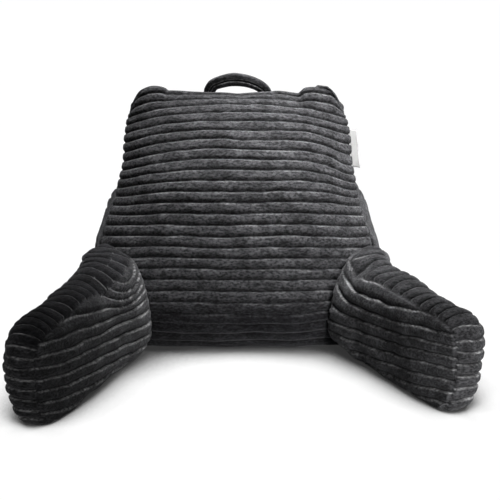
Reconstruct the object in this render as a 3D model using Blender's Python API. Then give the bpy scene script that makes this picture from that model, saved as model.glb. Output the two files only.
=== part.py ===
"""Reading pillow with arms: a filled wedge back, two filled arms, a carrying strap and a blank side tag.

Metres, +Z up. The front panel faces -Y, and the pillow stands on its flat undersides at z = 0.
Every cushion starts as a unit box whose edges are subdivided into a lattice. The lattice coordinates
say where on the cushion a point lies (across, through and up), a shape function places it, and the
wide ribs of the cloth are then raised along the surface's own normals.
"""

import math

import bmesh
import bpy
from mathutils import Vector

# Cloth
RIB_PITCH = 0.0189          # one rib and one groove of the wide-wale plush
RIB_RISE = 0.0045           # crest above groove
SEAM_CLEARANCE = 0.0006     # gap between pieces that touch
WELD = 0.00002              # lattice points closer than this are one
SHARP_ANGLE = 50.0          # degrees between faces that are shaded as an edge
FLOOR_LIFT = 0.0030         # lowest point of a row that is not on the floor
CUT_BELOW = 0.0100          # how far the shape that cuts the arms' roots reaches under the floor

# Where the finished pillow stands: the plan centre of its box is the origin
PLAN_SHIFT = Vector((-0.0153, 0.0061, 0.0))

# Back cushion
FRONT_ARC = 0.502           # front panel, foot to top seam, along its middle
BACK_RIBS = 26              # ribs from foot to top, the same number before and behind
ROWS_PER_RIB = 3
BACK_COLUMNS = 16
BACK_DEPTH_CELLS = 4
FOOT_REACH = 0.15           # share of the height over which the drawn-in sides leave the floor
FOOT_FORWARD = 0.010        # how far the filling pushes the foot of the front panel forward
FOOT_RISE = 0.30            # share of the height over which it does

# Lean of the front panel's middle from the upright, in degrees, by distance from its foot
FRONT_LEAN = (
    # (arc from foot, lean)
    (0.000, -34.0),
    (0.030, -26.0),
    (0.060, -9.0),
    (0.090, 9.0),
    (0.130, 21.0),
    (0.210, 27.0),
    (0.270, 33.0),
    (0.330, 43.0),
    (0.390, 51.0),
    (0.440, 61.0),
    (0.480, 72.0),
    (0.502, 80.0),
)

# Side profile of the back panel's middle
BACK_PROFILE = (
    # (share of height, depth behind the front foot, height)
    (0.00, 0.225, 0.000),
    (0.06, 0.249, 0.020),
    (0.25, 0.290, 0.097),
    (0.50, 0.306, 0.200),
    (0.75, 0.290, 0.296),
    (0.90, 0.264, 0.349),
    (1.00, 0.232, 0.379),
)

# Half widths of the panels and how far the cushion is drawn in at its sides
BACK_OUTLINE = (
    # (share of height, front half width, rear half width, front crown, rear crown)
    (0.00, 0.232, 0.232, 0.020, 0.030),
    (0.12, 0.238, 0.240, 0.038, 0.040),
    (0.26, 0.242, 0.243, 0.050, 0.046),
    (0.35, 0.240, 0.236, 0.052, 0.048),
    (0.42, 0.233, 0.227, 0.053, 0.046),
    (0.50, 0.221, 0.214, 0.054, 0.044),
    (0.60, 0.208, 0.199, 0.055, 0.040),
    (0.72, 0.200, 0.190, 0.054, 0.034),
    (0.85, 0.196, 0.186, 0.046, 0.026),
    (0.94, 0.190, 0.184, 0.034, 0.016),
    (1.00, 0.180, 0.180, 0.012, 0.010),
)
CROWN_POWER = 3             # how flat the middle of a panel is before it falls to its side seams
GUSSET_BULGE = 0.006        # swell of the side gussets low down
GUSSET_TUCK = 0.008         # and how far they are drawn in higher up
GUSSET_POWER = 8            # how close to the side the gusset's swell begins
GUSSET_TOP = 0.25           # share of the height over which the gusset narrows to the top seam
GUSSET_TURN_FROM = 0.30     # share of the height where the swell starts to turn into the tuck
GUSSET_TURN_OVER = 0.26
EDGE_TURN = 0.011           # how far the front panel's side edges are drawn back
EDGE_TURN_LOW = 0.35        # share of that near the floor
EDGE_POWER = 12

# Top seam: ears at its ends and a sag between them
TOP_REACH = 0.10            # share of the height over which the ears fade out downwards
LEFT_TOP = (
    # (share of the half width, rise of the top seam)
    (0.00, -0.0049),
    (0.26, -0.0021),
    (0.36, -0.0002),
    (0.55, 0.0034),
    (0.67, 0.0044),
    (0.72, 0.0105),
    (0.82, 0.0145),
    (0.92, 0.0090),
    (1.00, -0.0140),
)
RIGHT_TOP = (
    # (share of the half width, rise of the top seam)
    (0.00, -0.0049),
    (0.26, -0.0016),
    (0.42, 0.0002),
    (0.59, -0.0010),
    (0.66, 0.0110),
    (0.76, 0.0142),
    (0.88, 0.0140),
    (0.94, 0.0040),
    (1.00, -0.0180),
)

# Arms, in the frame of each arm: along it, across it (+ outwards) and up
ARM_HEIGHT = 0.153          # to the seams of the top band
ARM_NOSE_RADIUS = 0.036     # where the band turns down at the front
ARM_TOE_RADIUS = 0.026      # where it turns under
ARM_INNER_BULGE = 0.020
ARM_OUTER_BULGE = 0.020
ARM_SPREAD_FRONT = 0.014    # the foot of the inner panel, inside its top seam, at the front
ARM_OUTER_TUCK = 0.021      # the foot of the outer panel, inside its top seam
ARM_FILL_REACH = 0.110      # length behind the front seam over which the inner panel fills out
ARM_BULGE_START = 0.050     # and the outer one
ARM_CORNER = 0.013          # how far the lower front corners are drawn back
ARM_CORNER_HIGH = 0.22      # share of the height that they reach up to
ARM_CORNER_REACH = 0.050    # and the length behind the front
ARM_CORNER_POWER = 6
ARM_RIBS_HIGH = 7           # ribs on each side panel
ARM_BAND_CELLS = 4
ROOT_BURY = 0.125           # length that is cut away again where the arm meets the back
ROOT_LEAN = 0.030           # how far the arm's middle line bends inwards over that length
ROOT_TUCK = 0.024           # how far the outer panel turns in towards the gusset
ROOT_TUCK_REACH = 0.050     # and the length over which it does
ROOT_TURN = 0.060           # length over which the arm turns from straight ahead to its splay
ROOT_REACH = 0.085          # length over which the arm swells up to the back
ROOT_RISE_INNER = 0.004
ROOT_FLATTEN = 0.60         # share of the outer swell that is lost at the root
ROOT_SETTLE = 0.55          # share of the band's crown that is lost at the root
ROOT_FLARE_REACH = 0.045    # length over which the inner panel flares out to the back
ROOT_FLARE_LEVEL = 0.36     # share of the height where the flare is widest
ROOT_FLARE_SPREAD = 0.38

ARMS = (
    # (name, side, root across, root depth, splay, band's rib pitch)
    ("arm_right", 1.0, 0.2280, 0.0253, 33.2, 0.0265),
    ("arm_left", -1.0, 0.2240, 0.0073, 25.0, 0.0245),
)
ARM_SIZES = {
    # name: (length, root width, front width, foot's spread, root flare, band crown, outer root rise)
    "arm_right": (0.318, 0.060, 0.053, 0.010, 0.030, 0.009, 0.008),
    "arm_left": (0.337, 0.077, 0.055, 0.013, 0.016, 0.013, 0.014),
}
ARM_DIPS = {
    # name: rows of (edge of the band, place along the arm, reach, depth)
    "arm_right": ((-1.0, 0.036, 0.020, 0.019), (1.0, 0.235, 0.055, 0.006)),
    "arm_left": ((-1.0, 0.045, 0.020, 0.002), (-1.0, 0.112, 0.022, 0.009),
                 (-1.0, 0.190, 0.035, -0.008), (1.0, 0.180, 0.050, 0.003)),
}

# Carrying strap
STRAP_THICK = 0.011
STRAP_CELLS = 28
STRAP_GROOVE = 0.35         # depth of the groove between its two ribs, as a share of its thickness
STRAP_EDGE = 0.75           # how far it thins towards its edges
STRAP_STEP = 0.02           # share of its length on which its direction is taken
STRAP_PATH = (
    # (share of the strap, across, behind the top seam, above the top seam, width)
    (0.00, -0.0490, 0.0460, -0.0300, 0.0200),
    (0.12, -0.0495, 0.0350, -0.0120, 0.0200),
    (0.25, -0.0440, 0.0250, 0.0045, 0.0205),
    (0.38, -0.0270, 0.0205, 0.0150, 0.0220),
    (0.50, -0.0060, 0.0195, 0.0190, 0.0235),
    (0.62, 0.0150, 0.0205, 0.0160, 0.0220),
    (0.75, 0.0360, 0.0250, 0.0070, 0.0205),
    (0.88, 0.0500, 0.0330, -0.0085, 0.0200),
    (1.00, 0.0550, 0.0465, -0.0300, 0.0200),
)

# Blank tag in the right side seam
TAG_LENGTH = 0.070
TAG_WIDTH = 0.0130
TAG_THICK = 0.0012
TAG_TOP = 0.865             # share of the back's height at its upper end
TAG_STEPS = 8
TAG_SET_OFF = 0.0020        # from the side seam to the tag's sewn edge, clear of the cloth
TAG_CURL = 0.004            # how far its lower free corner bends forward


def clear_scene():
    """Remove the objects that a new file holds."""
    for item in list(bpy.data.objects):
        bpy.data.objects.remove(item, do_unlink=True)


def cloth(name, colour, roughness):
    """A plain finish: one colour, no metal."""
    material = bpy.data.materials.new(name)
    material.use_nodes = True
    shader = material.node_tree.nodes["Principled BSDF"]
    shader.inputs["Base Color"].default_value = (*colour, 1.0)
    shader.inputs["Roughness"].default_value = roughness
    shader.inputs["Metallic"].default_value = 0.0
    return material


def smooth(x):
    """Ease from 0 to 1."""
    x = min(max(x, 0.0), 1.0)
    return x * x * (3.0 - 2.0 * x)


def hump(x, width):
    """A soft hump of height 1 about 0."""
    return math.exp(-((x / width) ** 2))


def slope_at(table, column, k):
    """Slope of a table's column at row k, without overshoot."""
    last = len(table) - 1
    a, b = max(k - 1, 0), min(k + 1, last)
    if k in (0, last):
        return (table[b][column] - table[a][column]) / (table[b][0] - table[a][0])
    left = (table[k][column] - table[a][column]) / (table[k][0] - table[a][0])
    right = (table[b][column] - table[k][column]) / (table[b][0] - table[k][0])
    return 2.0 * left * right / (left + right) if left * right > 0.0 else 0.0


def read_table(table, x):
    """The columns of a table at x, on a smooth curve through its rows (monotone cubic)."""
    x = min(max(x, table[0][0]), table[-1][0])
    i = max(k for k in range(len(table) - 1) if table[k][0] <= x)
    width = table[i + 1][0] - table[i][0]
    t = (x - table[i][0]) / width
    values = []
    for column in range(1, len(table[0])):
        low, high = table[i][column], table[i + 1][column]
        m0 = slope_at(table, column, i) * width
        m1 = slope_at(table, column, i + 1) * width
        values.append((2 * t**3 - 3 * t**2 + 1) * low + (t**3 - 2 * t**2 + t) * m0
                      + (3 * t**2 - 2 * t**3) * high + (t**3 - t**2) * m1)
    return values


def front_middle():
    """Depth, height and lean along the middle of the front panel, by its row from the foot."""
    steps = 200
    step = FRONT_ARC / steps
    depth = height = 0.0
    line = [(0.0, 0.0, math.radians(FRONT_LEAN[0][1]))]
    for k in range(steps):
        lean = math.radians(read_table(FRONT_LEAN, (k + 0.5) * step)[0])
        depth += math.sin(lean) * step
        height += math.cos(lean) * step
        line.append((depth, height, math.radians(read_table(FRONT_LEAN, (k + 1) * step)[0])))
    return line


FRONT_LINE = front_middle()


def front_point(share):
    """Depth, height and lean of the front panel's middle at a share of its length."""
    place = min(max(share, 0.0), 1.0) * (len(FRONT_LINE) - 1)
    k = min(int(place), len(FRONT_LINE) - 2)
    mix = place - k
    return [a + (b - a) * mix for a, b in zip(FRONT_LINE[k], FRONT_LINE[k + 1])]


def back_shape(across, through, up):
    """Place a lattice point of the back cushion: across -1..1, through 0 front..1 rear, up 0..1."""
    front_half, rear_half, front_crown, rear_crown = read_table(BACK_OUTLINE, up)
    depth, height, lean = front_point(up)
    depth -= FOOT_FORWARD * smooth(1.0 - up / FOOT_RISE)
    rear_depth, rear_height = read_table(BACK_PROFILE, up)
    t = abs(across)
    fall = t**CROWN_POWER
    front = Vector((across * front_half,
                    depth + fall * front_crown * math.cos(lean),
                    height - fall * front_crown * math.sin(lean) * smooth(up / FOOT_REACH)))
    rear = Vector((across * rear_half, rear_depth - fall * rear_crown, rear_height))
    through = through if up < 1.0 else 0.0
    point = front.lerp(rear, through)
    turned = smooth((up - GUSSET_TURN_FROM) / GUSSET_TURN_OVER)
    swell = t**GUSSET_POWER * math.sin(math.pi * through) * min(1.0, (1.0 - up) / GUSSET_TOP)
    swell *= GUSSET_BULGE * (1.0 - turned) - GUSSET_TUCK * turned
    point.x += math.copysign(1.0, across) * swell
    point.y += EDGE_TURN * t**EDGE_POWER * (1.0 - through) * max(turned, EDGE_TURN_LOW)
    rise = read_table(LEFT_TOP if across < 0.0 else RIGHT_TOP, t)[0]
    point.z += rise * smooth((up - 1.0 + TOP_REACH) / TOP_REACH)
    if up == 0.0:
        point.z = 0.0
    return point + PLAN_SHIFT


def box_lattice(columns, cells, rows):
    """A closed unit box whose faces are cut into a lattice; its coordinates run 0..1 each way."""
    mesh = bmesh.new()
    bmesh.ops.create_cube(mesh, size=1.0)
    bmesh.ops.translate(mesh, vec=(0.5, 0.5, 0.5), verts=mesh.verts)
    for axis, count in enumerate((columns, cells, rows)):
        along = [edge for edge in mesh.edges
                 if abs(edge.verts[0].co[axis] - edge.verts[1].co[axis]) > 0.5]
        if count > 1:
            bmesh.ops.subdivide_edges(mesh, edges=along, cuts=count - 1, use_grid_fill=True)
    return mesh


def gather_to_sides(x):
    """Turn even columns -1..1 into columns that stand closer towards the side seams."""
    return 1.5 * x - 0.5 * x**3


def finish_object(mesh, name, material):
    """Close up a lattice, shade it smooth and link it as one object."""
    bmesh.ops.remove_doubles(mesh, verts=mesh.verts, dist=WELD)
    bmesh.ops.recalc_face_normals(mesh, faces=mesh.faces)
    data = bpy.data.meshes.new(name)
    mesh.to_mesh(data)
    mesh.free()
    data.shade_smooth()
    data.set_sharp_from_angle(angle=math.radians(SHARP_ANGLE))
    data.materials.append(material)
    item = bpy.data.objects.new(name, data)
    bpy.context.scene.collection.objects.link(item)
    return item


def back_lattice(rise):
    """The back cushion's lattice with its ribs, or with an even swell where rise is a number."""
    mesh = box_lattice(BACK_COLUMNS, BACK_DEPTH_CELLS, BACK_RIBS * ROWS_PER_RIB)
    ribs = {}
    for vert in mesh.verts:
        x, y, z = vert.co
        on_seam = y in (0.0, 1.0) and x in (0.0, 1.0)
        row = round(z * BACK_RIBS * ROWS_PER_RIB)
        crest = row % ROWS_PER_RIB != 0 and not on_seam and 0.0 < z < 1.0
        ribs[vert] = RIB_RISE if crest else 0.0
        vert.co = back_shape(gather_to_sides(2.0 * x - 1.0), y, z)
    mesh.normal_update()
    for vert, lift in ribs.items():
        grounded = vert.co.z == 0.0
        move = lift if rise is None else rise
        push = vert.normal.copy()
        if grounded:
            push.z = 0.0
        vert.co += push * move
        if not grounded:
            vert.co.z = max(vert.co.z, FLOOR_LIFT)
    return mesh


def back_cushion(material):
    """The filled wedge: front panel, side gussets and back panel in one solid."""
    return finish_object(back_lattice(None), "back", material)


def nose(along, up, length, height, radius, toe):
    """Place path shares on an arm's side outline, whose front corners are round.

    Returns the distance along the arm and the height. The radius rounds the upper corner, where the
    band turns down, and the toe is the smaller one, where it turns under.
    """
    quarter = math.pi / 4.0
    a = along * (length - radius + quarter * radius)
    b = up * (height - radius - toe + quarter * (radius + toe))
    top = height - radius - toe + quarter * toe
    x = max(a - (length - radius), 0.0) / (quarter * radius)
    flat = min(a, length - radius)
    if b > top:
        y = (b - top) / (quarter * radius)
        return (flat + radius * x * math.sqrt(1.0 - 0.5 * y * y),
                height - radius + radius * y * math.sqrt(1.0 - 0.5 * x * x))
    front = flat + radius * x
    if b >= quarter * toe:
        return front, toe + b - quarter * toe
    y = 1.0 - b / (quarter * toe)
    x = max(front - (length - toe), 0.0) / toe
    return (min(front, length - toe) + toe * x * math.sqrt(1.0 - 0.5 * y * y),
            toe - toe * y * math.sqrt(1.0 - 0.5 * x * x))


def facing(along, up, length):
    """Shares forward and up of the way that the band faces at path shares on the side outline."""
    run = math.pi / 4.0 * ARM_NOSE_RADIUS
    front_run = ARM_HEIGHT + (math.pi / 4.0 - 1.0) * (ARM_NOSE_RADIUS + ARM_TOE_RADIUS)
    x = min(max(1.0 - (1.0 - along) * (length - ARM_NOSE_RADIUS + run) / run, 0.0), 1.0)
    y = min(max(1.0 - (1.0 - up) * front_run / run, 0.0), 1.0)
    to_top = y * math.sqrt(1.0 - 0.5 * x * x)
    return math.sqrt(1.0 - to_top * to_top), to_top


def arm_shape(along, through, up, name):
    """Place a lattice point in the arm's frame: through -1 inner..1 outer, the others 0..1."""
    length, root_width, front_width, spread, flare, crown, rise_outer = ARM_SIZES[name]
    a, h = nose(along, up, length + ROOT_BURY, ARM_HEIGHT, ARM_NOSE_RADIUS, ARM_TOE_RADIUS)
    a -= ROOT_BURY
    level = h / ARM_HEIGHT
    front_share = min(max(a / length, 0.0), 1.0)
    root_share = smooth(1.0 - a / ROOT_REACH)
    rise = ROOT_RISE_INNER + (rise_outer - ROOT_RISE_INNER) * (through + 1.0) / 2.0
    h += rise * root_share * level**1.5
    for edge, place, reach, depth in ARM_DIPS[name]:
        h -= depth * hump(a - place, reach) * level**2 * smooth((0.5 + edge * through) / 1.5)
    arch = 1.0 - (2.0 * level - 1.0) ** 4
    q = through * (root_width + (front_width - root_width) * front_share) / 2.0
    if through < 0.0:
        filled = arch * math.sin(0.5 * math.pi * min(max((length - a) / ARM_FILL_REACH, 0.0), 1.0))
        flare *= hump(max(a, 0.0), ROOT_FLARE_REACH) * hump(level - ROOT_FLARE_LEVEL, ROOT_FLARE_SPREAD)
        flare *= smooth(level / 0.15) * smooth((1.0 - level) / 0.25)
        q += through * (ARM_INNER_BULGE * filled + spread * (1.0 - front_share) * (1.0 - level)
                        + ARM_SPREAD_FRONT * front_share * (1.0 - level) ** 2.5 + flare)
    else:
        tucked = smooth(-a / ROOT_TUCK_REACH)
        bulge = ARM_OUTER_BULGE * min(max((length - a) / ARM_BULGE_START, 0.0), 1.0) * arch * arch
        bulge *= 1.0 - ROOT_FLATTEN * root_share
        q += through * bulge * (1.0 - tucked)
        q -= through * (ARM_OUTER_TUCK * (1.0 - level) ** 2 * (1.0 - tucked) + ROOT_TUCK * tucked)
    if up == 1.0 or along == 1.0:
        to_front, to_top = facing(along, up, length + ROOT_BURY)
        over = crown * (1.0 - through * through) * (1.0 - ROOT_SETTLE * root_share)
        h += over * to_top
        a += over * to_front * min(1.0, 4.0 * level)
    corner = smooth(1.0 - level / ARM_CORNER_HIGH) * smooth(1.0 - (length - a) / ARM_CORNER_REACH)
    a -= ARM_CORNER * corner * through**ARM_CORNER_POWER
    return a, q, h


def arm_line(along, splay):
    """Place and heading of an arm's middle line: straight out of the back, then turned to its splay."""
    if along < 0.0:
        return -ROOT_LEAN * (along / ROOT_BURY) ** 2, along, 0.0
    radius = ROOT_TURN / splay
    heading = splay * min(max(along / ROOT_TURN, 0.0), 1.0)
    past = along - ROOT_TURN * heading / splay
    across = radius * (1.0 - math.cos(heading)) + past * math.sin(heading)
    ahead = radius * math.sin(heading) + past * math.cos(heading)
    return across, ahead, heading


def arm(name, side, root_across, root_depth, splay, pitch, material, clearance):
    """One filled arm, cut at its root by the swelled back so that it lies against it."""
    columns = 2 * round((ARM_SIZES[name][0] + ROOT_BURY) / pitch)
    rows = 2 * ARM_RIBS_HIGH
    mesh = box_lattice(columns, ARM_BAND_CELLS, rows)
    root = Vector((side * root_across, root_depth, 0.0)) + PLAN_SHIFT
    splay = math.radians(splay)
    ribs = {}
    for vert in mesh.verts:
        x, y, z = vert.co
        faces = (y in (0.0, 1.0)) + (x in (0.0, 1.0)) + (z in (0.0, 1.0))
        row = round(x * columns) if z == 1.0 else round(z * rows)
        a, q, h = arm_shape(x, 2.0 * y - 1.0, z, name)
        pressed = y == 1.0 and a < 0.0      # the outer panel lies flat against the gusset
        crest = row % 2 and faces == 1 and z > 0.0 and not pressed
        ribs[vert] = RIB_RISE if crest else 0.0
        h = 0.0 if z == 0.0 else max(h, FLOOR_LIFT)
        across, ahead, heading = arm_line(a, splay)
        vert.co = root + Vector((side * (across + q * math.cos(heading)),
                                 q * math.sin(heading) - ahead, h))
    bmesh.ops.recalc_face_normals(mesh, faces=mesh.faces)
    mesh.normal_update()
    for vert, lift in ribs.items():
        vert.co += vert.normal * lift
        if lift:
            vert.co.z = max(vert.co.z, FLOOR_LIFT)
    item = finish_object(mesh, name, material)
    cut = item.modifiers.new("meets the back", "BOOLEAN")
    cut.operation = "DIFFERENCE"
    cut.solver = "EXACT"
    cut.object = clearance
    return item


def back_clearance():
    """The back cushion swelled past its ribs: what an arm's root is cut with."""
    mesh = back_lattice(RIB_RISE + SEAM_CLEARANCE)
    for vert in mesh.verts:
        if vert.co.z == 0.0:
            vert.co.z = -CUT_BELOW
    item = finish_object(mesh, "back_clearance", None)
    item.hide_render = True
    item.display_type = "WIRE"
    return item


def top_seam():
    """Middle of the back cushion's top seam."""
    return back_shape(0.0, 0.0, 1.0)


def strap_place(share):
    """Middle of the strap at a share of its length, and its width there."""
    *place, width = read_table(STRAP_PATH, min(max(share, 0.0), 1.0))
    return top_seam() + Vector(place), width


def strap(material):
    """The carrying strap: a padded band, two ribs wide, stitched down behind the top seam."""
    mesh = box_lattice(STRAP_CELLS, 4, 2)
    for vert in mesh.verts:
        share, across, thick = vert.co
        middle, width = strap_place(share)
        ahead, behind = strap_place(share + STRAP_STEP)[0], strap_place(share - STRAP_STEP)[0]
        tangent = (ahead - behind).normalized()
        radial = tangent.cross(Vector((0.0, 1.0, 0.0))).normalized()
        face = radial.cross(tangent).normalized()
        w, t = 2.0 * across - 1.0, 2.0 * thick - 1.0
        ridge = 1.0 - STRAP_GROOVE if w == 0.0 else math.sqrt(1.0 - STRAP_EDGE * w * w)
        vert.co = middle + radial * (w * width / 2.0) + face * (t * ridge * STRAP_THICK / 2.0)
    return finish_object(mesh, "carry_strap", material)


def seam_share_below(share, distance):
    """Share of the height that lies a distance further down the right side seam."""
    step = 0.002
    here = back_shape(1.0, 0.0, share)
    while distance > 0.0:
        share -= step
        there = back_shape(1.0, 0.0, share)
        distance -= (there - here).length
        here = there
    return share


def tag(material):
    """The blank tag: a narrow strip sewn into the right side seam."""
    mesh = box_lattice(TAG_STEPS, 2, 1)
    shares = [seam_share_below(TAG_TOP, TAG_LENGTH * k / TAG_STEPS) for k in range(TAG_STEPS + 1)]
    for vert in mesh.verts:
        down, out, thick = vert.co
        seam = back_shape(1.0, 0.0, shares[round(down * TAG_STEPS)])
        forward = TAG_CURL * (down * out) ** 2
        vert.co = seam + Vector((TAG_SET_OFF + out * TAG_WIDTH, thick * TAG_THICK - forward, 0.0))
    return finish_object(mesh, "side_tag", material)


def main():
    """Build every piece of the pillow."""
    clear_scene()
    plush = cloth("charcoal_plush", (0.045, 0.045, 0.048), 0.95)
    white = cloth("white_ribbon", (0.82, 0.82, 0.80), 0.70)
    back_cushion(plush)
    clearance = back_clearance()
    for name, side, root_across, root_depth, splay, pitch in ARMS:
        arm(name, side, root_across, root_depth, splay, pitch, plush, clearance)
    strap(plush)
    tag(white)


main()
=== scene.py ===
"""Reading pillow with arms, dressed in charcoal wide-rib plush.

Each cushion is a box lattice shaped into its panels, with ribs, seams and gathers raised on it.
Metres, +Z up, the front panel towards -Y, in the frame of the solids.
"""

import logging
import math
from dataclasses import dataclass
from enum import Enum

import bmesh
import bpy
import numpy as np
from bmesh.types import BMesh
from bpy.types import Material, Node, NodeSocket, NodeTree, Object
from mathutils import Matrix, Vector
from mathutils.bvhtree import BVHTree


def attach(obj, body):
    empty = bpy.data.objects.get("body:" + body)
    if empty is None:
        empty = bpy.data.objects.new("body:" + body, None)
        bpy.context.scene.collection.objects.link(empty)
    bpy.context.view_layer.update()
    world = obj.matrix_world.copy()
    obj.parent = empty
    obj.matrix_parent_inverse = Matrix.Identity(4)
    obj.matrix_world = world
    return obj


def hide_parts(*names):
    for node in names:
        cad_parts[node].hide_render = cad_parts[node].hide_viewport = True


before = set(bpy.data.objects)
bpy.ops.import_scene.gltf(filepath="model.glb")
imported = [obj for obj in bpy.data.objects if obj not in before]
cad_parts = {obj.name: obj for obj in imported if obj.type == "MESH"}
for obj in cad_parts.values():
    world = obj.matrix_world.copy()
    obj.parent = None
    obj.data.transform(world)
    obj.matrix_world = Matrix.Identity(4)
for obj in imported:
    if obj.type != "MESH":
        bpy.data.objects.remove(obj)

Array = np.ndarray
Pair = tuple[float, float]
Triple = tuple[float, float, float]
Colour = Triple
LOG = logging.getLogger("reading_pillow")
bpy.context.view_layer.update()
ROOT_BODY = "root"

MIDDLE = (-0.0153, 0.0061)      # plan place of the front panel's foot
HALF_SPAN = 0.21                # half the width of the back, for patterns laid over it
WELD = 0.00002                  # places closer than this are one
FLOOR_GAP = 0.0004              # height of the flat undersides
LOWEST_ROW = 0.0022             # least height of what isn't an underside
SAME = 1e-6                     # lattice shares closer than this are one
WHITE = (1.0, 1.0, 1.0, 1.0)


class Panel(Enum):
    """Faces of a box lattice, by lattice axis and end."""

    INNER = (1, 0.0)
    OUTER = (1, 1.0)
    FOOT = (2, 0.0)
    TOP = (2, 1.0)
    REAR = (0, 0.0)
    FRONT = (0, 1.0)


def linked(name: str, data: bpy.types.ID) -> Object:
    """Link data to the scene as an object."""
    item = bpy.data.objects.new(name, data)
    bpy.context.scene.collection.objects.link(item)
    return item


def point_at(item: Object, place: Vector, aim: Vector) -> None:
    """Put a light or a camera at a place and point it at another."""
    item.location = place
    item.rotation_euler = (aim - place).to_track_quat("-Z", "Y").to_euler()


@dataclass(frozen=True)
class Table:
    """Columns of sizes read along a smooth monotone curve through their rows."""

    rows: tuple[tuple[float, ...], ...]

    def read(self, x: Array) -> Array:
        """Read every column.

        Args:
            x: Places in the first column, any shape.

        Returns:
            One array like x for each further column.
        """
        table = np.array(self.rows)
        keys, values = table[:, 0], table[:, 1:]
        place = np.clip(np.asarray(x, float), keys[0], keys[-1])
        k = np.clip(np.searchsorted(keys, place, side="right") - 1, 0, len(keys) - 2)
        width = np.diff(keys)
        steep = np.diff(values, axis=0) / width[:, None]
        slope = np.zeros_like(values)
        slope[0], slope[-1] = steep[0], steep[-1]
        total = steep[:-1] + steep[1:]
        product = steep[:-1] * steep[1:]
        slope[1:-1] = np.where(product > 0.0, 2.0 * product / np.where(total == 0.0, 1.0, total), 0.0)
        w = width[k][..., None]
        t = ((place - keys[k]) / width[k])[..., None]
        out = (
            (2 * t**3 - 3 * t**2 + 1) * values[k]
            + (t**3 - 2 * t**2 + t) * slope[k] * w
            + (3 * t**2 - 2 * t**3) * values[k + 1]
            + (t**3 - t**2) * slope[k + 1] * w
        )
        return np.moveaxis(out, -1, 0)


@dataclass(frozen=True)
class Waves:
    """A smooth uneven field from a few seeded waves."""

    seed: int
    wavelength: float
    count: int = 14

    def at(self, points: Array) -> Array:
        """Read the field.

        Args:
            points: N by D places, in metres.

        Returns:
            N values, mostly between -1 and 1.
        """
        random = np.random.default_rng(self.seed)
        total = np.zeros(len(points))
        for _ in range(self.count):
            heading = random.normal(size=points.shape[1])
            heading /= np.linalg.norm(heading)
            length = self.wavelength * random.uniform(0.6, 1.6)
            turn = random.uniform(0.0, 2.0 * math.pi)
            total += np.sin(points @ heading * (2.0 * math.pi / length) + turn)
        return total * math.sqrt(2.0 / self.count)


def ease(x: Array | float) -> Array:
    """Ease from 0 to 1."""
    x = np.clip(x, 0.0, 1.0)
    return x * x * (3.0 - 2.0 * x)


def hump(x: Array, width: float) -> Array:
    """A soft hump of height 1 about 0."""
    return np.exp(-((x / width) ** 2))


@dataclass(frozen=True)
class Rib:
    """Cross-section of one rib of the plush, fuller towards its upper edge."""

    rise: float = 0.0040
    lean: float = 1.35
    full: float = 4.6

    def height(self, phase: Array) -> Array:
        """Height above the groove, where phase counts ribs upwards."""
        share = np.mod(phase, 1.0) ** self.lean
        return self.rise * (1.0 - np.abs(2.0 * share - 1.0) ** self.full)

    @staticmethod
    def edge(phase: Array) -> Array:
        """1 along the upper edge of each rib, where the highlight is painted."""
        return hump(np.mod(phase, 1.0) - 0.90, 0.055)

    @staticmethod
    def groove(phase: Array) -> Array:
        """1 in the grooves, fading up the lower side of the next rib, where the shade is painted."""
        share = np.mod(phase, 1.0)
        return np.where(share > 0.5, hump(1.0 - share, 0.045), hump(share, 0.11))

    @staticmethod
    def body(phase: Array) -> Array:
        """0 to 1 up the face of each rib, from painted shade to painted light."""
        return ease((np.mod(phase, 1.0) - 0.02) / 0.42)


@dataclass(frozen=True)
class EdgeHighlight:
    """How strong the painted highlight along the ribs' upper edges is, uneven over a piece."""

    mean: float
    swing: float
    least: float
    most: float
    wavelength: float

    def at(self, points: Array, seed: int, extra: float = 0.0) -> Array:
        """Read the painted highlight's strength.

        Args:
            points: N places, in metres.
            seed: Seed of the uneven field.
            extra: Added to the mean.

        Returns:
            N shares.
        """
        field = Waves(seed, self.wavelength).at(points)
        return np.clip(self.mean + extra + self.swing * field, self.least, self.most)


RIB = Rib()


@dataclass
class Lattice:
    """A closed unit box cut into a lattice, kept as a mesh with its lattice places."""

    columns: int
    cells: int
    rows: int

    def build(self) -> BMesh:
        """Make the box.

        Returns:
            A bmesh whose places and "lattice" layer run 0..1 each way.
        """
        mesh = bmesh.new()
        bmesh.ops.create_cube(mesh, size=1.0)
        bmesh.ops.translate(mesh, vec=(0.5, 0.5, 0.5), verts=mesh.verts)
        for axis, count in enumerate((self.columns, self.cells, self.rows)):
            along = [e for e in mesh.edges if abs(e.verts[0].co[axis] - e.verts[1].co[axis]) > 0.5]
            if count > 1:
                bmesh.ops.subdivide_edges(mesh, edges=along, cuts=count - 1, use_grid_fill=True)
        # Room for each vertex's painted light and shade.
        mesh.verts.layers.float_vector.new("tint")
        layer = mesh.verts.layers.float_vector.new("lattice")
        for vert in mesh.verts:
            vert[layer] = vert.co
        return mesh


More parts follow.
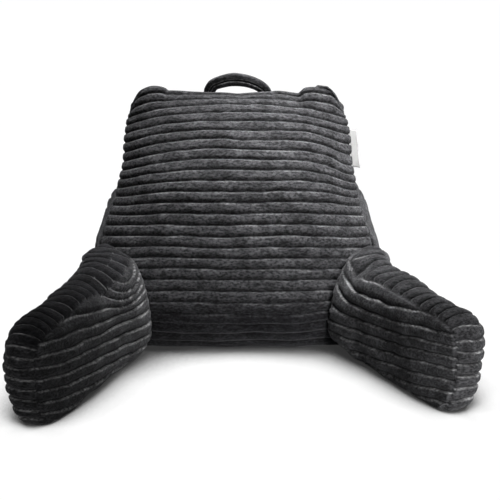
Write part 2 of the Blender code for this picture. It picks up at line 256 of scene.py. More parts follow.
class Shell:
    """One piece's mesh while it is being shaped: places, lattice places and normals as arrays."""

    def __init__(self, name: str, mesh: BMesh) -> None:
        """Keep a bmesh under a name."""
        self.name = name
        self.mesh = mesh
        self.lattice = self.layer("lattice")

    def layer(self, name: str) -> Array:
        """One of the vertices' layers."""
        layer = self.mesh.verts.layers.float_vector[name]
        return np.array([vertex[layer] for vertex in self.mesh.verts])

    def on(self, panel: Panel) -> Array:
        """True for the lattice places of one face, its edges included."""
        axis, end = panel.value
        return np.abs(self.lattice[:, axis] - end) < SAME

    def move_to(self, places: Array) -> None:
        """Put the vertices at N by 3 places."""
        for vert, place in zip(self.mesh.verts, places):
            vert.co = place

    def places(self) -> Array:
        """The vertices' places."""
        return np.array([v.co for v in self.mesh.verts])

    def normals(self) -> Array:
        """The vertices' outward normals."""
        self.mesh.normal_update()
        return np.array([v.normal for v in self.mesh.verts])

    def face_outwards(self) -> None:
        """Point the faces outwards."""
        bmesh.ops.recalc_face_normals(self.mesh, faces=self.mesh.faces)
        if self.mesh.calc_volume(signed=True) < 0.0:
            bmesh.ops.reverse_faces(self.mesh, faces=self.mesh.faces)

    def weld(self) -> None:
        """Merge the vertices that the shape brought together."""
        bmesh.ops.remove_doubles(self.mesh, verts=self.mesh.verts, dist=WELD)
        self.face_outwards()
        self.lattice = self.layer("lattice")

    def paint_light_and_shade(self, edge: Array, groove: Array, body: Array) -> None:
        """Keep each vertex's painted light and shade, so that they outlive a later weld.

        Args:
            edge: Share of the painted highlight along the upper edge, 0..1.
            groove: Share of the painted shade in the groove, 0..1.
            body: Share of painted light against painted shade on the plush, 0..1.
        """
        layer = self.mesh.verts.layers.float_vector["tint"]
        for vertex, tint in zip(self.mesh.verts, np.stack([edge, groove, body], axis=1)):
            vertex[layer] = tint

    def finish(self, material: Material) -> Object:
        """Link the shell as a smooth object, with its painted light and shade as a point colour attribute.

        Args:
            material: Its finish.

        Returns:
            The linked object.
        """
        tint = self.layer("tint")
        data = bpy.data.meshes.new(self.name)
        self.mesh.to_mesh(data)
        self.mesh.free()
        data.shade_smooth()
        data.materials.append(material)
        colour = data.color_attributes.new("painted_shading", "FLOAT_COLOR", "POINT")
        opaque = np.ones((len(tint), 1))
        colour.data.foreach_set("color", np.clip(np.hstack([tint, opaque]), 0.0, 1.0).ravel())
        return linked(self.name, data)


@dataclass(frozen=True)
class Crease:
    """A short fold across a panel, from one place to another in lattice shares."""

    start: Pair
    end: Pair
    width: float
    depth: float

    def dip(self, across: Array, up: Array, scale: Pair) -> Array:
        """Depth of the fold at places on the panel.

        Args:
            across: First share of each place.
            up: Second share of each place.
            scale: Metres that one unit of each share stands for.

        Returns:
            Depths in metres, positive inwards.
        """
        a = np.array(self.start) * scale
        b = np.array(self.end) * scale
        here = np.stack([across * scale[0], up * scale[1]], axis=1) - a
        line = b - a
        length = float(np.linalg.norm(line))
        along = here @ line / length
        aside = (here[:, 0] * line[1] - here[:, 1] * line[0]) / length
        ends = ease(along / (0.35 * length)) * ease((length - along) / (0.35 * length))
        fold = hump(aside, self.width) - 0.45 * hump(aside - 1.7 * self.width, self.width)
        return self.depth * ends * fold


@dataclass
class BackCushion:
    """The filled wedge: front panel, side gussets and back panel, gathered at the top seam.

    Pairs named as a reach are a share of the height and the share over which it eases.
    """

    columns: int = 112
    cells: int = 28
    rows_per_rib: int = 12
    ribs: int = 26
    front_arc: float = 0.502
    crown_power: int = 3
    foot_reach: float = 0.15
    foot_forward: float = 0.010
    foot_rise: float = 0.30
    gusset_bulge: float = 0.006
    gusset_power: int = 8
    gusset_top: float = 0.25
    gusset_tuck: float = 0.008
    gusset_depth: float = 0.2
    turn_reach: Pair = (0.30, 0.26)
    edge_turn: float = 0.011
    edge_turn_low: float = 0.35
    edge_power: int = 12
    ear_reach: float = 0.10
    left_top: Table = Table((
        # (share of the half width, rise of the top edge)
        (0.00, -0.0049),
        (0.26, -0.0021),
        (0.36, -0.0002),
        (0.55, 0.0034),
        (0.67, 0.0044),
        (0.72, 0.0105),
        (0.82, 0.0145),
        (0.92, 0.0090),
        (1.00, -0.0140),
    ))
    right_top: Table = Table((
        # (share of the half width, rise of the top edge)
        (0.00, -0.0049),
        (0.26, -0.0016),
        (0.42, 0.0002),
        (0.59, -0.0010),
        (0.66, 0.0110),
        (0.76, 0.0142),
        (0.88, 0.0140),
        (0.94, 0.0040),
        (1.00, -0.0180),
    ))
    seam_depth: float = 0.0026
    seam_width: float = 0.0026
    seam_reach: Pair = (0.50, 0.14)
    seam_high: float = 0.25
    rib_wander: float = 0.05
    droop: Pair = (0.12, 0.55)
    droop_place: Pair = (0.68, 0.13)
    droop_reach: Pair = (0.74, 0.26)
    uneven: float = 0.16
    slack: float = 0.0012
    seam_fade: Pair = (0.55, 0.0030)
    top_fade: Pair = (0.8, 0.004)
    # Painted highlight on the rib edges, weaker low down and on the gussets; painted shade in the grooves,
    # over the gussets and under the front near the foot.
    edge_highlight: EdgeHighlight = EdgeHighlight(0.20, 0.20, 0.02, 0.42, 0.05)
    low_reach: Pair = (0.26, 0.20)
    low_highlight_cut: Pair = (0.5, 0.7)
    gusset_highlight: float = 0.4
    gusset_shade: float = 0.45
    groove_shade: float = 0.60
    under_reach: Pair = (0.24, 0.12)
    under_shade: Pair = (0.85, 1.0)
    lean: Table = Table((
        # (arc from foot, lean from the upright in degrees)
        (0.000, -34.0),
        (0.030, -26.0),
        (0.060, -9.0),
        (0.090, 9.0),
        (0.130, 21.0),
        (0.210, 27.0),
        (0.270, 33.0),
        (0.330, 43.0),
        (0.390, 51.0),
        (0.440, 61.0),
        (0.480, 72.0),
        (0.502, 80.0),
    ))
    profile: Table = Table((
        # (share of height, depth behind the front foot, height)
        (0.00, 0.225, 0.000),
        (0.06, 0.249, 0.020),
        (0.25, 0.290, 0.097),
        (0.50, 0.306, 0.200),
        (0.75, 0.290, 0.296),
        (0.90, 0.264, 0.349),
        (1.00, 0.232, 0.379),
    ))
    outline: Table = Table((
        # (share of height, front half width, rear half width, front crown, rear crown)
        (0.00, 0.232, 0.232, 0.020, 0.030),
        (0.12, 0.238, 0.240, 0.038, 0.040),
        (0.26, 0.242, 0.243, 0.050, 0.046),
        (0.35, 0.240, 0.236, 0.052, 0.048),
        (0.42, 0.233, 0.227, 0.053, 0.046),
        (0.50, 0.221, 0.208, 0.054, 0.044),
        (0.60, 0.209, 0.190, 0.055, 0.040),
        (0.72, 0.200, 0.184, 0.054, 0.034),
        (0.85, 0.196, 0.186, 0.046, 0.026),
        (0.94, 0.190, 0.184, 0.034, 0.016),
        (1.00, 0.180, 0.180, 0.012, 0.010),
    ))
    rib_count: Table = Table((
        # (share of the front's arc, ribs counted from the foot)
        (0.000, 0.00),
        (0.200, 5.20),
        (0.600, 15.60),
        (0.860, 22.36),
        (0.915, 23.90),
        (0.9465, 24.90),
        (0.972, 25.90),
        (1.000, 27.00),
    ))
    creases: tuple[Crease, ...] = (
        Crease((-0.62, 0.950), (-0.50, 0.985), 0.0040, 0.0022),
        Crease((-0.32, 0.925), (-0.22, 0.975), 0.0040, 0.0022),
        Crease((-0.20, 0.870), (-0.09, 0.905), 0.0035, 0.0018),
        Crease((0.05, 0.900), (0.17, 0.945), 0.0040, 0.0020),
        Crease((0.52, 0.860), (0.64, 0.900), 0.0040, 0.0020),
        Crease((0.30, 0.960), (0.37, 0.990), 0.0040, 0.0022),
        Crease((0.70, 0.660), (0.88, 0.700), 0.0050, 0.0020),
    )

    def front_line(self) -> Array:
        """Depth, height and lean along the front panel's middle, in even steps from the foot."""
        steps = 200
        step = self.front_arc / steps
        lean = np.radians(self.lean.read((np.arange(steps) + 0.5) * step)[0])
        ends = np.radians(self.lean.read(np.arange(steps + 1) * step)[0])
        depth = np.concatenate([[0.0], np.cumsum(np.sin(lean) * step)])
        height = np.concatenate([[0.0], np.cumsum(np.cos(lean) * step)])
        return np.stack([depth, height, ends])

    def shape(self, lattice: Array) -> Array:
        """Place lattice points.

        Args:
            lattice: N by 3, across -1..1, through 0 front..1 rear, up 0..1.

        Returns:
            N by 3 places.
        """
        across, through, up = lattice.T
        front_half, rear_half, front_crown, rear_crown = self.outline.read(up)
        line = self.front_line()
        even = np.linspace(0.0, 1.0, line.shape[1])
        depth, height, lean = (np.interp(up, even, row) for row in line)
        rear_depth, rear_height = self.profile.read(up)
        through = np.where(up > 1.0 - SAME, 0.0, through)
        t = np.abs(across)
        fall = t**self.crown_power
        lift = ease(up / self.foot_reach)
        x = across * (front_half + (rear_half - front_half) * through)
        front_y = depth + fall * front_crown * np.cos(lean)
        front_y = front_y - self.foot_forward * ease(1.0 - up / self.foot_rise)
        front_z = height - fall * front_crown * np.sin(lean) * lift
        y = front_y + (rear_depth - fall * rear_crown - front_y) * through
        z = front_z + (rear_height - front_z) * through
        upper = ease((up - self.turn_reach[0]) / self.turn_reach[1])
        closing = np.minimum(1.0, (1.0 - up) / self.gusset_top)
        swell = t**self.gusset_power * np.sin(np.pi * through) * closing
        x += np.sign(across) * swell * (self.gusset_bulge * (1.0 - upper) - self.gusset_tuck * upper)
        y += self.edge_turn * t**self.edge_power * (1.0 - through) * np.maximum(upper, self.edge_turn_low)
        top = np.where(across < 0.0, self.left_top.read(t)[0], self.right_top.read(t)[0])
        z += top * ease((up - 1.0 + self.ear_reach) / self.ear_reach)
        z = np.where(up < SAME, 0.0, z)
        return np.stack([x + MIDDLE[0], y + MIDDLE[1], z], axis=1)

    @staticmethod
    def spread(lattice: Array) -> Array:
        """Count the columns of lattice places -1..1 across, closer towards the sides."""
        even = 2.0 * lattice[:, 0] - 1.0
        return np.stack([1.5 * even - 0.5 * even**3, lattice[:, 1], lattice[:, 2]], axis=1)

    def phase(self, across: Array, up: Array) -> Array:
        """Count the ribs upwards, wandering a little from the straight.

        Args:
            across: Places across the panel, -1..1.
            up: Shares of the height.

        Returns:
            Ribs from the foot; the right end of some droops.
        """
        flat = np.stack([across * HALF_SPAN, up * self.front_arc * 1.5], axis=1)
        wander = Waves(11, 0.20).at(flat) * self.rib_wander
        wander = wander + Waves(12, 0.045).at(flat) * 0.5 * self.rib_wander
        drooped = np.where(across < 0.0, *self.droop)
        drooped = drooped * ease((np.abs(across) - self.droop_reach[0]) / self.droop_reach[1])
        drooped = drooped * hump(up - self.droop_place[0], self.droop_place[1])
        held = ease(up / 0.04) * ease((1.0 - up) / 0.04)
        return self.rib_count.read(up)[0] + drooped + wander * held

    def seam_distance(self, across: Array, through: Array, up: Array) -> Array:
        """Distance of lattice places from the nearest side seam, along the cloth."""
        panel = (through < SAME) | (through > 1.0 - SAME)
        beside = (1.0 - np.abs(across)) * self.outline.read(up)[0]
        over = np.minimum(through, 1.0 - through) * self.gusset_depth
        return np.where(np.abs(across) > 1.0 - SAME, over, np.where(panel, beside, 1.0))

    def build(self, finish: "Plush") -> Object:
        """Shape the cushion, raise its ribs and draw in its seams.

        Args:
            finish: The plush that it is covered in.

        Returns:
            The back cushion.
        """
        rows = self.rows_per_rib * self.ribs
        shell = Shell("back_cushion", Lattice(self.columns, self.cells, rows).build())
        shell.move_to(self.shape(self.spread(shell.lattice)))
        shell.weld()
        lattice = self.spread(shell.lattice)
        places, normals = shell.places(), shell.normals()
        phase = self.phase(lattice[:, 0], lattice[:, 2])
        lift, fade = self.relief(lattice, places, phase)
        # Paint the light and shade of the plush: edge highlights, groove and foot shade.
        shell.paint_light_and_shade(*self.tints(lattice, places, phase, fade))
        grounded = lattice[:, 2] < SAME
        normals[grounded] = 0.0
        places += normals * lift[:, None]
        places[:, 2] = np.where(grounded, FLOOR_GAP, np.maximum(places[:, 2], LOWEST_ROW))
        shell.move_to(places)
        return shell.finish(finish.material())

    def relief(self, lattice: Array, bare: Array, phase: Array) -> tuple[Array, Array]:
        """Raise the ribs, seams, slack and creases.

        Args:
            lattice: N by 3 lattice places, as for shape.
            bare: N by 3 places before the relief.
            phase: Ribs from the foot.

        Returns:
            Heights along the normals, and what is left of the ribs beside the seams.
        """
        across, through, up = lattice.T
        side = self.seam_distance(across, through, up)
        top = (1.0 - up) * self.front_arc
        low = ease((self.seam_reach[0] - up) / self.seam_reach[1])
        fade = 1.0 - self.seam_fade[0] * low * hump(side, self.seam_fade[1])
        fade *= 1.0 - self.top_fade[0] * hump(top, self.top_fade[1])
        lift = RIB.height(phase) * fade * (1.0 + self.uneven * Waves(13, 0.07).at(bare))
        drawn = self.seam_high + (1.0 - self.seam_high) * low
        lift -= self.seam_depth * drawn * hump(side, self.seam_width)
        lift -= self.seam_depth * hump(top, self.seam_width)
        lift += self.slack * Waves(14, 0.11).at(bare)
        for crease in self.creases:
            lift -= np.where(through < SAME, crease.dip(across, up, (HALF_SPAN, self.front_arc)), 0.0)
        return lift, fade

    def tints(self, lattice: Array, bare: Array, phase: Array, fade: Array) -> tuple[Array, Array, Array]:
        """Shares of painted highlight on the rib edges, painted shade in the grooves, and painted light
        against shade up each rib.

        Args:
            lattice: N by 3 lattice places, as for shape.
            bare: N by 3 places before the relief.
            phase: Ribs from the foot.
            fade: What is left of the ribs beside the seams.

        Returns:
            The three shares.
        """
        across, _, up = lattice.T
        gusset = np.abs(across) > 1.0 - SAME
        low = ease((self.low_reach[0] - up) / self.low_reach[1])
        under = ease((self.under_reach[0] - up) / self.under_reach[1])
        # Painted highlight, weaker on the gussets, low down and under the front.
        highlight_share = self.edge_highlight.at(bare, 15) * np.where(gusset, self.gusset_highlight, 1.0)
        highlight_share *= (1.0 - self.low_highlight_cut[0] * low) * (1.0 - self.low_highlight_cut[1] * under)
        # Painted shade under the front near the foot, in the grooves and over the gussets.
        shade = under * np.where(across > 0.0, self.under_shade[1], self.under_shade[0])
        groove = np.maximum(self.groove_shade * RIB.groove(phase), shade)
        groove = np.maximum(groove, self.gusset_shade * gusset)
        # Painted light up each rib, taken away under the front.
        return RIB.edge(phase) * fade * highlight_share, groove, RIB.body(phase) * (1.0 - under)


def rounded(flat: Array, up: Array) -> Array:
    """How far round a unit corner a place of the unit square comes, along its first side."""
    return flat * np.sqrt(1.0 - 0.5 * up * up)


@dataclass(frozen=True)
class ArmSizes:
    """Sizes of one arm; side is +1 at the viewer's right, and splay is in degrees."""

    name: str
    node: str
    side: float
    root_across: float
    root_depth: float
    splay: float
    length: float
    root_width: float
    front_width: float
    spread: float
    top_pitch: float
    front_pitch: float
    front_start: float
    side_pitch: float
    side_start: float
    side_slope: float
    dips: tuple[Triple, ...]    # place, width and depth in the inner top seam
    outer_dip: Triple
    skew: float
    hook: Triple                # rise, reach and lowest level of the ribs' upturn
    squeeze: float
    flare: float
    flare_level: float
    crown: float
    rise_outer: float
    # Share of painted shade over this arm's plush.
    shade: float
    seed: int


@dataclass
class Arm:
    """One filled arm: a top band that turns down at the front, between an inner and an outer panel."""

    sizes: ArmSizes
    columns: int = 190
    cells: int = 20
    rows: int = 96
    height: float = 0.153
    nose_radius: float = 0.036
    toe_radius: float = 0.026
    inner_bulge: float = 0.020
    outer_bulge: float = 0.020
    spread_front: float = 0.014
    outer_tuck: float = 0.021
    bulge_start: float = 0.050
    fill_reach: float = 0.110
    root_bury: float = 0.125
    root_lean: float = 0.030
    root_tuck: float = 0.024
    root_tuck_reach: float = 0.050
    root_turn: float = 0.060
    root_reach: float = 0.085
    root_rise_inner: float = 0.004
    flare_reach: float = 0.045
    root_flatten: float = 0.60
    root_settle: float = 0.55
    root_gap: float = 0.0007
    root_search: Triple = (0.42, 0.02, 0.004)
    corner_round: float = 0.013
    corner_reach: Pair = (0.22, 0.05)
    toe_tuck: float = 0.020
    toe_reach: Pair = (0.20, 0.07)
    seam_depth: float = 0.0018
    seam_width: float = 0.0017
    root_seam: Pair = (0.0022, 0.006)
    slack: float = 0.0013
    uneven: float = 0.18
    band_relief: float = 1.45
    side_relief: float = 1.60
    # Strength of the painted highlight on the rib edges, raised on the arm with more painted shade.
    edge_highlight: EdgeHighlight = EdgeHighlight(0.72, 0.40, 0.30, 1.50, 0.045)
    shade_highlight: float = 0.65

    def nose(self, along: Array, up: Array) -> tuple[Array, Array]:
        """Place path shares on the side outline, whose front corners are round.

        Args:
            along: Path share from the buried end to the front.
            up: Path share from the foot to the top.

        Returns:
            Distances along the arm from its buried end, and heights.
        """
        length, radius, toe = self.sizes.length + self.root_bury, self.nose_radius, self.toe_radius
        quarter = math.pi / 4.0
        a = along * (length - radius + quarter * radius)
        b = up * (self.height - radius - toe + quarter * (radius + toe))
        top = self.height - radius - toe + quarter * toe
        x = np.maximum(a - (length - radius), 0.0) / (quarter * radius)
        flat = np.minimum(a, length - radius)
        y = np.clip((b - top) / (quarter * radius), 0.0, 1.0)
        upper = (flat + radius * rounded(x, y), self.height - radius + radius * rounded(y, x))
        front = flat + radius * x
        y = np.clip(1.0 - b / (quarter * toe), 0.0, 1.0)
        x = np.maximum(front - (length - toe), 0.0) / toe
        lower = (np.minimum(front, length - toe) + toe * rounded(x, y), toe - toe * rounded(y, x))
        straight = (front, toe + b - quarter * toe)
        on_top, on_toe = b > top, b < quarter * toe
        pick = [np.where(on_top, u, np.where(on_toe, w, s)) for u, w, s in zip(upper, lower, straight)]
        return pick[0], pick[1]

    def facing(self, along: Array, up: Array) -> tuple[Array, Array]:
        """Which way the band faces at path shares on the side outline.

        Args:
            along: Path share from the buried end to the front.
            up: Path share from the foot to the top.

        Returns:
            Its shares forward and up.
        """
        length, radius = self.sizes.length + self.root_bury, self.nose_radius
        run = math.pi / 4.0 * radius
        x = np.clip(1.0 - (1.0 - along) * (length - radius + run) / run, 0.0, 1.0)
        y = np.clip(1.0 - (1.0 - up) * self.front_run() / run, 0.0, 1.0)
        to_top = rounded(y, x)
        return np.sqrt(1.0 - to_top**2), to_top

    def front_run(self) -> float:
        """Length of the side outline from the foot to the middle of the nose."""
        radii = self.nose_radius + self.toe_radius
        return self.height - radii + math.pi / 4.0 * radii

    def shape(self, lattice: Array, on_top: Array, on_front: Array) -> tuple[Array, Array]:
        """Place lattice points.

        Args:
            lattice: N by 3, path share along, through -1 inner..1 outer, path share up.
            on_top: True for points of the top band.
            on_front: True for points of the band where it has turned down.

        Returns:
            N by 3 places, and the distance of each along the arm from its root.
        """
        s = self.sizes
        along, through, up = lattice.T
        a, h = self.nose(along, up)
        a = a - self.root_bury
        level = h / self.height
        root_share = ease(1.0 - a / self.root_reach)
        out = (through + 1.0) / 2.0
        rise = self.root_rise_inner + (s.rise_outer - self.root_rise_inner) * out
        h = h + rise * root_share * level**1.5
        for place, width, depth in s.dips:
            h = h - depth * hump(a - place, width) * level**2 * ease((0.5 - through) / 1.5)
        place, width, depth = s.outer_dip
        h = h - depth * hump(a - place, width) * level**2 * ease((0.5 + through) / 1.5)
        crown = np.where(on_top | on_front, s.crown * (1.0 - through * through), 0.0)
        crown = crown * (1.0 - self.root_settle * root_share)
        to_front, to_top = self.facing(along, up)
        h = h + crown * to_top
        from_front, foot = self.corner_reach[1], self.corner_reach[0]
        corner = self.corner_round * ease(1.0 - level / foot) * through**6
        corner = corner * ease(1.0 - (s.length - a) / from_front)
        ahead = a + crown * to_front * np.minimum(1.0, 4.0 * level) - corner
        x, y = self.bend(ahead, self.off_middle(a, through, level))
        return np.stack([x, y, h], axis=1), a

    def off_middle(self, a: Array, through: Array, level: Array) -> Array:
        """Distance off the arm's middle line, with the filling's bulge and the tucked foot.

        Args:
            a: Distances along the arm from its root.
            through: Places through the arm, -1 inner..1 outer.
            level: Shares of the arm's height.

        Returns:
            Distances, negative on the inner side.
        """
        s = self.sizes
        to_front = s.length - a
        front_share = np.clip(a / s.length, 0.0, 1.0)
        root_share = ease(1.0 - a / self.root_reach)
        arch = 1.0 - (2.0 * level - 1.0) ** 4
        filled = np.sin(0.5 * math.pi * np.clip(to_front / self.fill_reach, 0.0, 1.0)) * arch
        half = through * (s.root_width + (s.front_width - s.root_width) * front_share) / 2.0
        flare = s.flare * hump(np.maximum(a, 0.0), self.flare_reach) * hump(level - s.flare_level, 0.38)
        flare = flare * ease(level / 0.15) * ease((1.0 - level) / 0.25)
        inner = through * (self.inner_bulge * filled + s.spread * (1.0 - front_share) * (1.0 - level)
                           + self.spread_front * front_share * (1.0 - level) ** 2.5 + flare)
        tucked = ease(-a / self.root_tuck_reach)
        bulge = self.outer_bulge * np.clip(to_front / self.bulge_start, 0.0, 1.0) * arch**2
        bulge = bulge * (1.0 - self.root_flatten * root_share)
        outer = through * (bulge * (1.0 - tucked) - self.outer_tuck * (1.0 - level) ** 2 * (1.0 - tucked)
                           - self.root_tuck * tucked)
        toe = np.clip(1.0 - level / self.toe_reach[0], 0.0, 1.0) ** 2
        outer = outer - self.toe_tuck * through * toe * ease(1.0 - to_front / self.toe_reach[1])
        return half + np.where(through < 0.0, inner, outer)

    def bend(self, a: Array, off: Array) -> tuple[Array, Array]:
        """Splay the arm outwards round its root.

        Args:
            a: Distances along the arm from its root.
            off: Distances off the arm's middle line.

        Returns:
            Places in x and in y.
        """
        s = self.sizes
        splay = math.radians(s.splay)
        radius = self.root_turn / splay
        heading = splay * np.clip(a / self.root_turn, 0.0, 1.0)
        past = a - self.root_turn * heading / splay
        across = radius * (1.0 - np.cos(heading)) + past * np.sin(heading)
        ahead = radius * np.sin(heading) + past * np.cos(heading)
        behind = a < 0.0
        across = np.where(behind, -self.root_lean * (a / self.root_bury) ** 2, across)
        ahead = np.where(behind, a, ahead)
        x = MIDDLE[0] + s.side * (s.root_across + across + off * np.cos(heading))
        y = MIDDLE[1] + s.root_depth + off * np.sin(heading) - ahead
        return x, y

    def root_shares(self, through: Array, up: Array, top: Array, back: BVHTree) -> Array:
        """Path share at which each line along the arm meets the back.

        Args:
            through: Place of each line through the arm, -1..1.
            up: Path share of each line up the arm.
            top: True for the lines of the top band.
            back: The back cushion's surface.

        Returns:
            One path share for each line.
        """
        first, last, stride = self.root_search
        shares = np.full(len(through), last)
        open_lines = np.ones(len(through), bool)
        before = np.full(len(through), 1.0)
        for step in np.arange(first, last, -stride):
            index = np.nonzero(open_lines)[0]
            if not len(index):
                break
            lattice = np.stack([np.full(len(index), step), through[index], up[index]], axis=1)
            places, _ = self.shape(lattice, top[index], np.zeros(len(index), bool))
            gap = np.empty(len(index))
            for k, place in enumerate(places):
                near, normal, _, distance = back.find_nearest(Vector(place))
                inside = (Vector(place) - near).dot(normal) < 0.0
                gap[k] = (-distance if inside else distance) - self.root_gap
            met = gap < 0.0
            part = np.clip(before[index] / np.maximum(before[index] - gap, 1e-9), 0.0, 1.0)
            hit = index[met]
            shares[hit] = step + stride - stride * part[met]
            open_lines[hit] = False
            before[index] = gap
        LOG.info("%s: %d of %d root lines meet the back", self.sizes.name,
                 int((~open_lines).sum()), len(through))
        return shares

    def build(self, finish: "Plush", back: BVHTree) -> Object:
        """Shape the arm up to the back, raise its ribs and draw in its seams.

        Args:
            finish: The plush that it is covered in.
            back: The back cushion's surface.

        Returns:
            The arm.
        """
        s = self.sizes
        shell = Shell(s.name, Lattice(self.columns, self.cells, self.rows).build())
        through, up = 2.0 * shell.lattice[:, 1] - 1.0, shell.lattice[:, 2]
        on_top, on_front = shell.on(Panel.TOP), shell.on(Panel.FRONT)
        root, foot = shell.on(Panel.REAR), shell.on(Panel.FOOT)
        starts = self.line_starts(shell.lattice, back)
        path = starts + shell.lattice[:, 0] * (1.0 - starts)
        places, along = self.shape(np.stack([path, through, up], axis=1), on_top, on_front)
        total = s.length + self.root_bury
        from_root, to_nose = (path - starts) * total, (1.0 - path) * total
        shell.move_to(places)
        shell.face_outwards()
        normals = shell.normals()

        band = (on_top | on_front) & (np.abs(through) < 1.0 - SAME)
        level = np.minimum(places[:, 2], self.height + 0.02)
        side_phase = self.side_phase(level, along, from_root)
        phase = np.where(band, self.band_phase(on_top, through, up, to_nose), side_phase)
        phase = phase + 0.05 * Waves(s.seed, 0.14).at(places) + 0.025 * Waves(s.seed + 1, 0.04).at(places)
        across_band = (1.0 - np.abs(through)) * s.front_width / 2.0
        on_side = (shell.on(Panel.INNER) | shell.on(Panel.OUTER)) & ~(on_top | on_front)
        below_seam = np.where(on_side, np.minimum((1.0 - up) * self.height, to_nose), 0.0)
        near = np.where(band, across_band, below_seam)

        soft = np.where(root | foot, 0.0, 1.0)
        fade = (1.0 - 0.5 * hump(near, 0.0018)) * (1.0 - 0.35 * hump(from_root, 0.005)) * soft
        settled = np.where(on_top | on_front, 0.7, 0.3) * hump(from_root, 0.03)
        relief = np.where(on_top | on_front, self.band_relief, self.side_relief)
        rise = RIB.height(phase) * relief * (1.0 - settled)
        lift = rise * fade * (1.0 + self.uneven * Waves(s.seed + 2, 0.06).at(places))
        lift -= self.seam_depth * hump(near, self.seam_width) * soft
        lift -= self.root_seam[0] * hump(from_root, self.root_seam[1]) * soft
        lift += self.slack * Waves(s.seed + 3, 0.09).at(places) * soft * ease(from_root / 0.02)
        normals[root | foot] = 0.0
        places = places + normals * lift[:, None]
        places[:, 2] = np.where(foot, FLOOR_GAP, np.maximum(places[:, 2], LOWEST_ROW))
        shell.move_to(places)

        # Painted highlight on the rib edges, weaker at the root; painted light up each rib, cut by the
        # arm's painted shade, more on the top band; painted shade in the grooves and over the top band
        # where that shade is strong.
        highlight_share = self.edge_highlight.at(places, s.seed + 4, self.shade_highlight * s.shade)
        highlight_share *= (1.0 - 0.6 * hump(from_root, 0.012)) * (1.0 - 0.8 * settled)
        body = RIB.body(phase) * (1.0 - np.where(on_top, 1.5, 1.1) * s.shade)
        groove = np.maximum(RIB.groove(phase), np.where(on_top, 1.5, 0.1) * s.shade)
        shell.paint_light_and_shade(RIB.edge(phase) * fade * highlight_share, groove, body)
        shell.weld()
        return shell.finish(finish.material())

    def line_starts(self, lattice: Array, back: BVHTree) -> Array:
        """Path share at which the line through each lattice place leaves the back."""
        cell = np.round(lattice[:, 1] * self.cells).astype(int)
        row = np.round(lattice[:, 2] * self.rows).astype(int)
        lines, which = np.unique(cell * (self.rows + 1) + row, return_inverse=True)
        through = 2.0 * (lines // (self.rows + 1)) / self.cells - 1.0
        up = (lines % (self.rows + 1)) / self.rows
        return self.root_shares(through, up, up > 1.0 - SAME, back)[which]

    def band_phase(self, on_top: Array, through: Array, up: Array, to_nose: Array) -> Array:
        """Count the ribs of the band up the front and back over the top.

        Args:
            on_top: True for points of the top band.
            through: Places through the arm, -1..1.
            up: Path shares up the arm.
            to_nose: Distances along the path from the front.

        Returns:
            Ribs from the foot.
        """
        s = self.sizes
        front_run = self.front_run()
        half_nose = math.pi / 4.0 * self.nose_radius
        over_front = np.maximum(up * front_run - front_run + half_nose, 0.0)
        over_top = np.minimum(to_nose, half_nose)
        stretch = 0.7 * s.crown / self.nose_radius
        run = np.where(
            on_top,
            front_run + np.minimum(to_nose, self.nose_radius) + stretch * (half_nose + over_top),
            up * front_run + stretch * over_front)
        back_over = np.where(on_top, np.maximum(to_nose - self.nose_radius, 0.0) / s.top_pitch, 0.0)
        return s.front_start + run / s.front_pitch + back_over + s.skew * through * ease(run / front_run)

    def side_phase(self, level: Array, along: Array, from_root: Array) -> Array:
        """Count the ribs of the side panels upwards; they climb and hook at the root.

        Args:
            level: Heights.
            along: Distances along the arm from its root.
            from_root: Distances along the path from the back.

        Returns:
            Ribs from the foot.
        """
        s = self.sizes
        share = level / self.height
        hook_rise, hook_reach, hook_from = s.hook
        hook = hook_rise * np.exp(-from_root / hook_reach) * ease((share - hook_from) / 0.4)
        slope = s.side_slope * np.clip(s.length - along, 0.0, s.length)
        squeeze = s.squeeze * ease((share - 0.60) / 0.40) * hump(from_root - 0.05, 0.06)
        return s.side_start + (level + slope - hook) / s.side_pitch + squeeze


